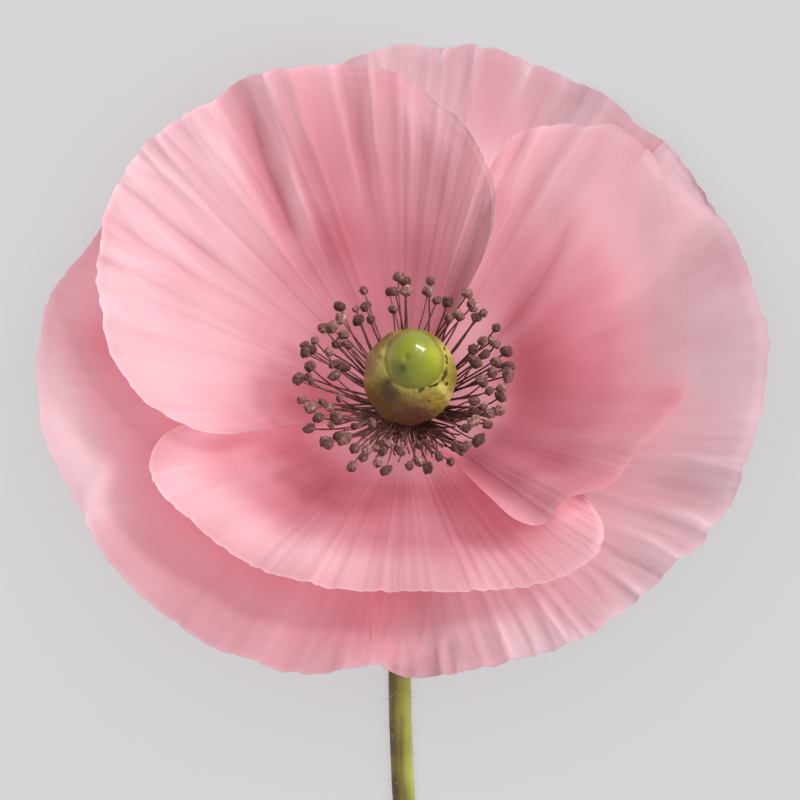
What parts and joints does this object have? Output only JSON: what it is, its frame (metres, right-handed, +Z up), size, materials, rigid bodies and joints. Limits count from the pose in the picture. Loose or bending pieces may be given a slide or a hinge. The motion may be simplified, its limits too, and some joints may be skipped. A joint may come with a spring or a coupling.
{
  "type": "cut poppy",
  "caption": "Cut poppy lying on a table: a thin bent stem and one open, cupped pink bloom with a ring of dark stamens round a green ovary.",
  "frame": {"origin": "on the table, under the middle of the flower's outer box", "axes": "+Z up from the table, +Y along the lying stem from its cut end to the bloom, +X to the right seen from above with the bloom away from the viewer"},
  "size_m": [0.0907, 0.2383, 0.0368],
  "materials": {
    "stem": "matte",
    "outer_petal": "matte",
    "inner_petal": "matte",
    "stamen": "matte",
    "ovary": "satin",
    "cap": "gloss"
  },
  "bodies": {
    "root": {"stem": "stem", "petal_outer_left": "outer_petal", "petal_outer_right": "outer_petal", "petal_outer_upper": "outer_petal", "petal_inner_lower": "inner_petal", "petal_inner_right": "inner_petal", "petal_inner_upper": "inner_petal", "stamens": "stamen", "ovary": "ovary", "stigma_cap": "cap"}
  },
  "joints": []
}
